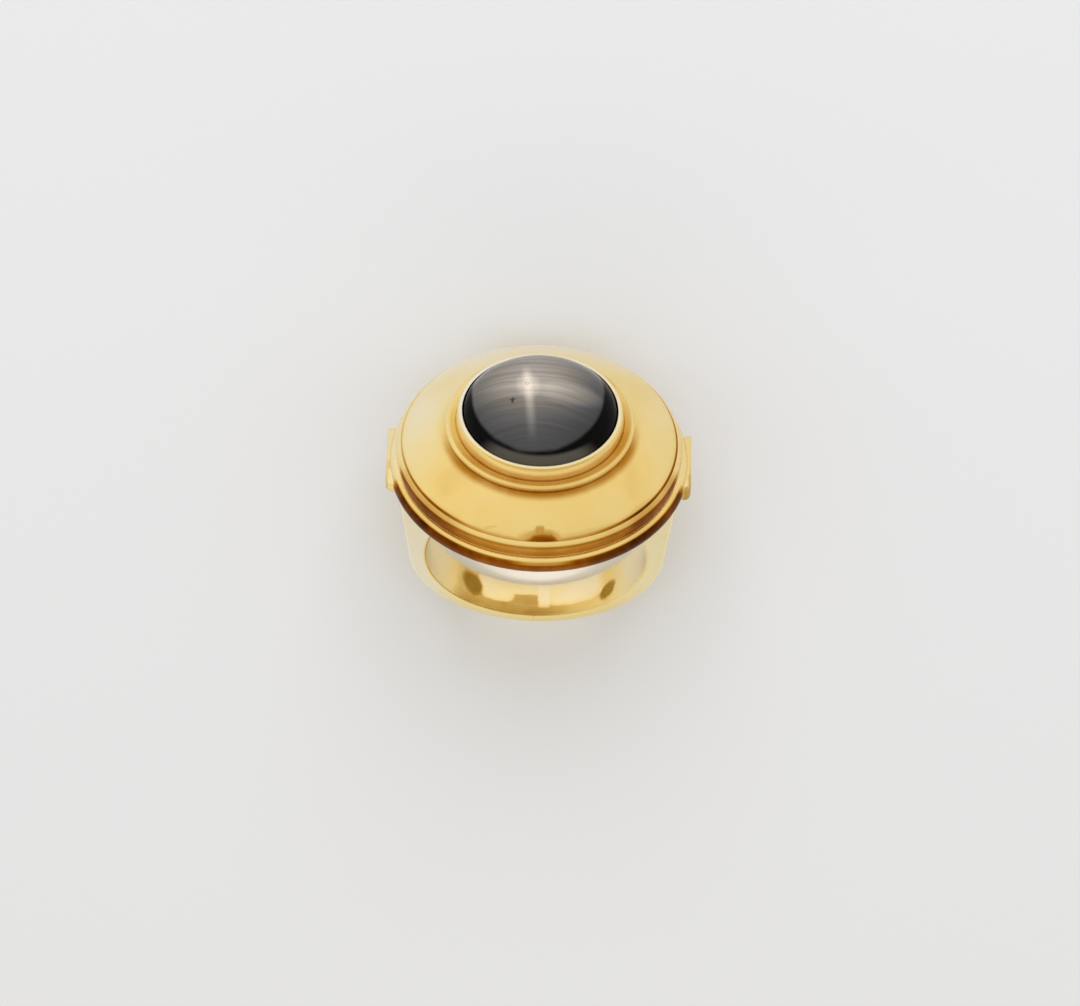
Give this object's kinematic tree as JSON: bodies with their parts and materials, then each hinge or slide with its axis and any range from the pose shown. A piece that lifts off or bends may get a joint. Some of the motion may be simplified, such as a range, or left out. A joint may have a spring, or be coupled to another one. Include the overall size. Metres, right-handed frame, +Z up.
{
  "type": "ring",
  "caption": "Yellow gold dress ring with a domed oval head, a two-wire rim, a collar-set oval star cabochon and a tapering shank.",
  "frame": {"origin": "middle of the ring's outline on the surface that it lies on", "axes": "+Z up from that surface, +Y from the foot of the shank towards the head, X along the length of the head"},
  "size_m": [0.024, 0.0278, 0.0195],
  "materials": {
    "polished_gold": "yellow gold with a worn polish",
    "satin_gold": "yellow gold with a satin surface",
    "star_stone": "polished black-brown star cabochon"
  },
  "bodies": {
    "root": {"ring_mount": "polished_gold", "domed_top": "satin_gold", "star_stone": "star_stone"}
  },
  "joints": []
}
